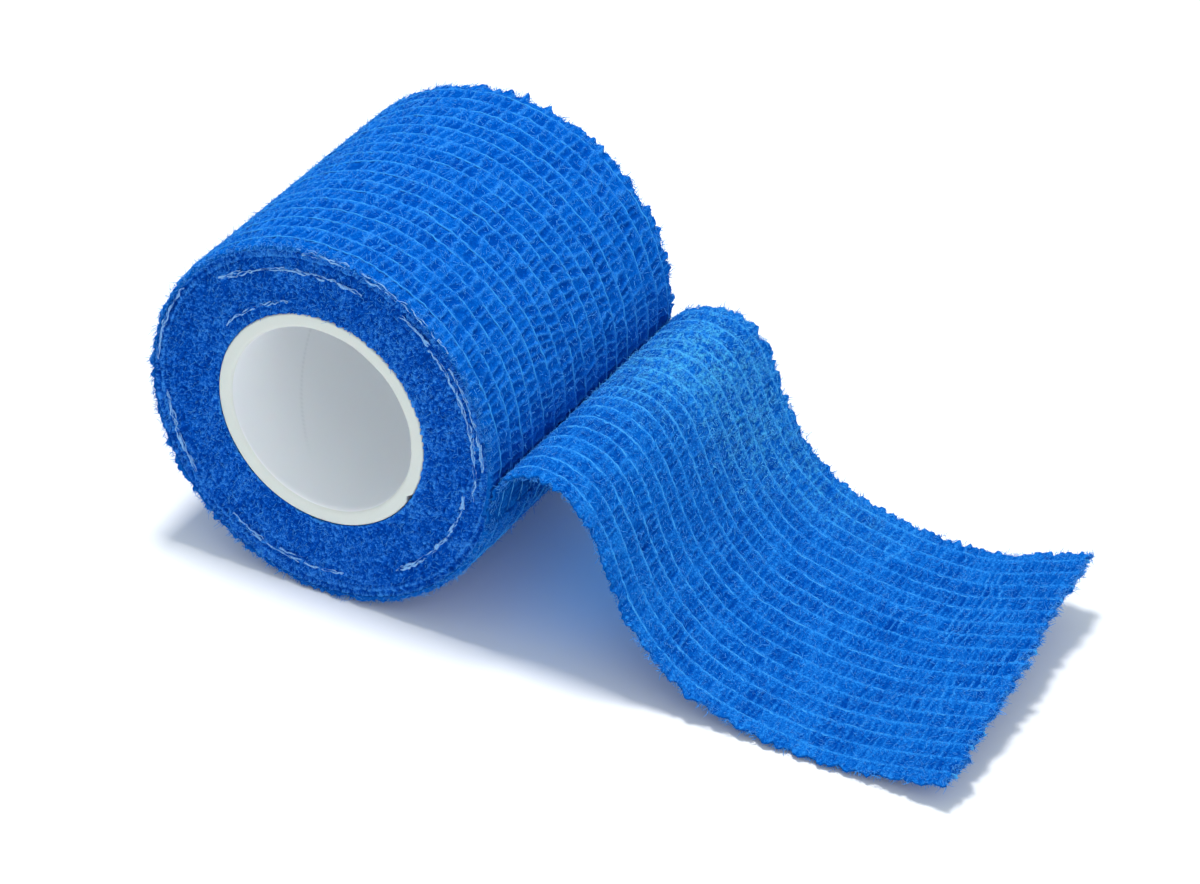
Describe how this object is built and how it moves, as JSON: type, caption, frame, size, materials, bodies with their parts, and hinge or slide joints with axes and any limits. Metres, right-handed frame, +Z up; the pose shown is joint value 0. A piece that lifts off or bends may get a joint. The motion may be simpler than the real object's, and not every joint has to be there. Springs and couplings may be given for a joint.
{
  "type": "hand wrap",
  "caption": "Roll of self-gripping elastic hand wrap on a plastic core, its free end pulled off and lying in an S-curve.",
  "frame": {"origin": "middle of the flat patch that the roll stands on", "axes": "+X along the free tail, away from the roll; +Y along the roll's axis; +Z up"},
  "size_m": [0.1204, 0.05, 0.0534],
  "materials": {
    "outer_web": "crinkled nonwoven, matt with a slight sheen",
    "inner_web": "crinkled nonwoven, matt",
    "elastic_thread": "pale elastic thread",
    "core_plastic": "white moulded plastic, satin"
  },
  "bodies": {
    "roll": {"wound_turns": "inner_web", "outer_turn_inner_web": "inner_web", "outer_turn_outer_web": "outer_web", "elastic_thread_01": "elastic_thread", "elastic_thread_02": "elastic_thread", "elastic_thread_03": "elastic_thread", "elastic_thread_04": "elastic_thread", "elastic_thread_05": "elastic_thread", "elastic_thread_06": "elastic_thread", "elastic_thread_07": "elastic_thread", "elastic_thread_08": "elastic_thread", "elastic_thread_09": "elastic_thread", "elastic_thread_10": "elastic_thread", "elastic_thread_11": "elastic_thread", "elastic_thread_12": "elastic_thread", "elastic_thread_13": "elastic_thread", "elastic_thread_14": "elastic_thread", "elastic_thread_15": "elastic_thread", "elastic_thread_16": "elastic_thread", "elastic_thread_17": "elastic_thread"},
    "core": {"core_tube": "core_plastic"},
    "tail_1": {"tail_1_inner_web": "inner_web", "tail_1_outer_web": "outer_web"},
    "tail_2": {"tail_2_inner_web": "inner_web", "tail_2_outer_web": "outer_web"},
    "tail_3": {"tail_3_inner_web": "inner_web", "tail_3_outer_web": "outer_web"},
    "tail_4": {"tail_4_inner_web": "inner_web", "tail_4_outer_web": "outer_web"},
    "tail_5": {"tail_5_inner_web": "inner_web", "tail_5_outer_web": "outer_web"}
  },
  "joints": [
    {"name": "core_push_out", "type": "slide", "parent": "roll", "child": "core", "axis": [0, -1, 0], "range_m": [0, 0.04]},
    {"name": "peel", "type": "hinge", "parent": "roll", "child": "tail_1", "pos_m": [0.02677, 0, 0.02397], "axis": [0.0005, -1, 0.0008], "range_deg": [-30, 3]},
    {"name": "crest_bend", "type": "hinge", "parent": "tail_1", "child": "tail_2", "pos_m": [0.03715, 0, 0.0287], "axis": [-0.0035, -0.9999, -0.0097], "range_deg": [-20, 45]},
    {"name": "drop_bend", "type": "hinge", "parent": "tail_2", "child": "tail_3", "pos_m": [0.0441, 0, 0.01804], "axis": [0.0022, -0.9997, -0.0259], "range_deg": [-45, 45]},
    {"name": "foot_bend", "type": "hinge", "parent": "tail_3", "child": "tail_4", "pos_m": [0.056, 0, 0.00514], "axis": [0.0017, -0.9988, -0.0481], "range_deg": [-45, 45]},
    {"name": "end_bend", "type": "hinge", "parent": "tail_4", "child": "tail_5", "pos_m": [0.07664, 0, 0.00239], "axis": [0.0174, -0.9972, -0.0727], "range_deg": [-45, 45]}
  ]
}
